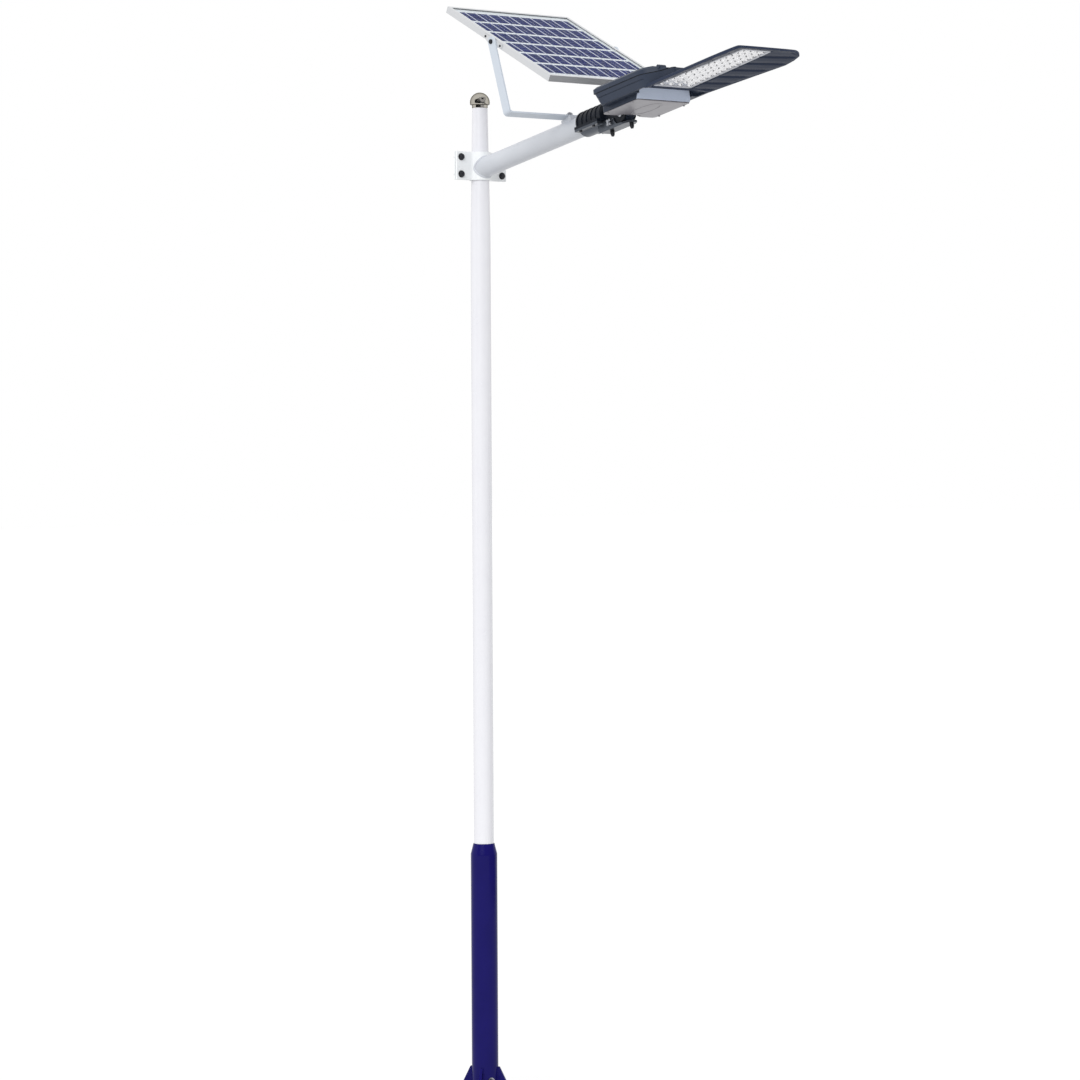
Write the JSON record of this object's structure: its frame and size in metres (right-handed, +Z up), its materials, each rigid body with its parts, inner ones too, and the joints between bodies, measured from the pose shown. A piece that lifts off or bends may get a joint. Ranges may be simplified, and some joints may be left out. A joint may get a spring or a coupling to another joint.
{
  "type": "solar street lamp",
  "caption": "Solar street lamp: tubular pole in a gusseted base sleeve, clamped arm, tilting solar panel on a U bracket and a tilting LED head with a battery box.",
  "frame": {"origin": "centre of the underside of the base plate, on the pole's axis", "axes": "+Z up along the pole, +X along the arm towards the lamp head, +Y across"},
  "size_m": [1.4781, 0.4742, 3.2757],
  "materials": {
    "sleeve_blue": "gloss enamel",
    "pole_white": "gloss powder coat",
    "chrome": "polished",
    "arm_grey": "semi-gloss powder coat",
    "bolt_black": "black zinc",
    "zinc": "zinc plated",
    "bracket_grey": "satin powder coat",
    "frame_aluminium": "satin anodised",
    "solar_glass": "clear",
    "cell_blue": "gloss",
    "ribbon_silver": "tinned",
    "backsheet_white": "matt",
    "plastic_black": "matt",
    "casting_dark": "satin paint on die casting",
    "adaptor_dark": "satin paint on die casting",
    "cradle_silver": "die-cast, satin",
    "step_silver": "satin paint",
    "cover_grey": "semi-gloss",
    "lens_white": "clear polycarbonate over white",
    "lens_border": "light grey",
    "seal_black": "matt",
    "board_white": "matt",
    "led_yellow": "matt",
    "cell_wrap": "shrink wrap"
  },
  "bodies": {
    "pole": {"base_plate": "sleeve_blue", "base_gussets": "sleeve_blue", "base_sleeve": "sleeve_blue", "earth_stud": "zinc", "earth_nut": "zinc", "pole_tube": "pole_white", "pole_seat": "bolt_black", "cap_ball": "chrome", "cap_plug": "plastic_black"},
    "arm": {"clamp_front": "arm_grey", "clamp_rear": "arm_grey", "clamp_bolts": "bolt_black", "clamp_washers": "bolt_black", "clamp_nuts": "bolt_black", "arm_tube": "arm_grey", "bracket_saddle": "arm_grey", "swivel_stud": "zinc", "swivel_nut": "zinc", "spigot_barrel": "adaptor_dark", "spigot_cradle": "cradle_silver", "flange_screws": "bolt_black", "cradle_bolts": "bolt_black", "knuckle_pin": "zinc", "knuckle_nut": "zinc", "star_bolt": "zinc", "star_nuts": "zinc"},
    "bracket": {"panel_bracket": "bracket_grey", "tilt_bolts": "bolt_black", "tilt_nuts": "bolt_black"},
    "panel": {"frame_side_rails": "frame_aluminium", "frame_end_rails": "frame_aluminium", "corner_keys": "plastic_black", "panel_glass": "solar_glass", "back_sheet": "backsheet_white", "solar_cells": "cell_blue", "cell_ribbons": "ribbon_silver", "panel_lugs": "bracket_grey", "lug_screws": "bolt_black", "junction_box": "plastic_black", "junction_lid": "plastic_black", "junction_glands": "plastic_black"},
    "head": {"housing_body": "casting_dark", "lid_gasket": "seal_black", "housing_lid": "casting_dark", "wing_casting": "casting_dark", "led_board": "board_white", "lens_gasket": "seal_black", "lens_plate": "lens_white", "led_chips": "led_yellow", "lens_frame": "lens_border", "lens_screws": "bolt_black", "step_plate": "step_silver", "battery_cover": "cover_grey", "cover_seal": "seal_black", "cover_screws": "bolt_black", "battery_cells": "cell_wrap", "battery_holder": "plastic_black", "controller_case": "plastic_black", "tilt_knuckle": "casting_dark", "cable_gland": "plastic_black"}
  },
  "joints": [
    {"name": "arm_swing", "type": "hinge", "parent": "pole", "child": "arm", "pos_m": [0, 0, 2.828], "axis": [0, 0, 1], "range_deg": [-90, 90]},
    {"name": "panel_swivel", "type": "hinge", "parent": "arm", "child": "bracket", "pos_m": [0.4343, 0, 2.9385], "axis": [-0.3256, 0, 0.9455], "range_deg": [-30, 30]},
    {"name": "panel_tilt", "type": "hinge", "parent": "bracket", "child": "panel", "pos_m": [0.36061, 0, 3.15252], "axis": [0, 1, 0], "range_deg": [-60, 5]},
    {"name": "head_tilt", "type": "hinge", "parent": "arm", "child": "head", "pos_m": [0.68686, 0, 2.93272], "axis": [0, 1, 0], "range_deg": [-15, 8]}
  ]
}
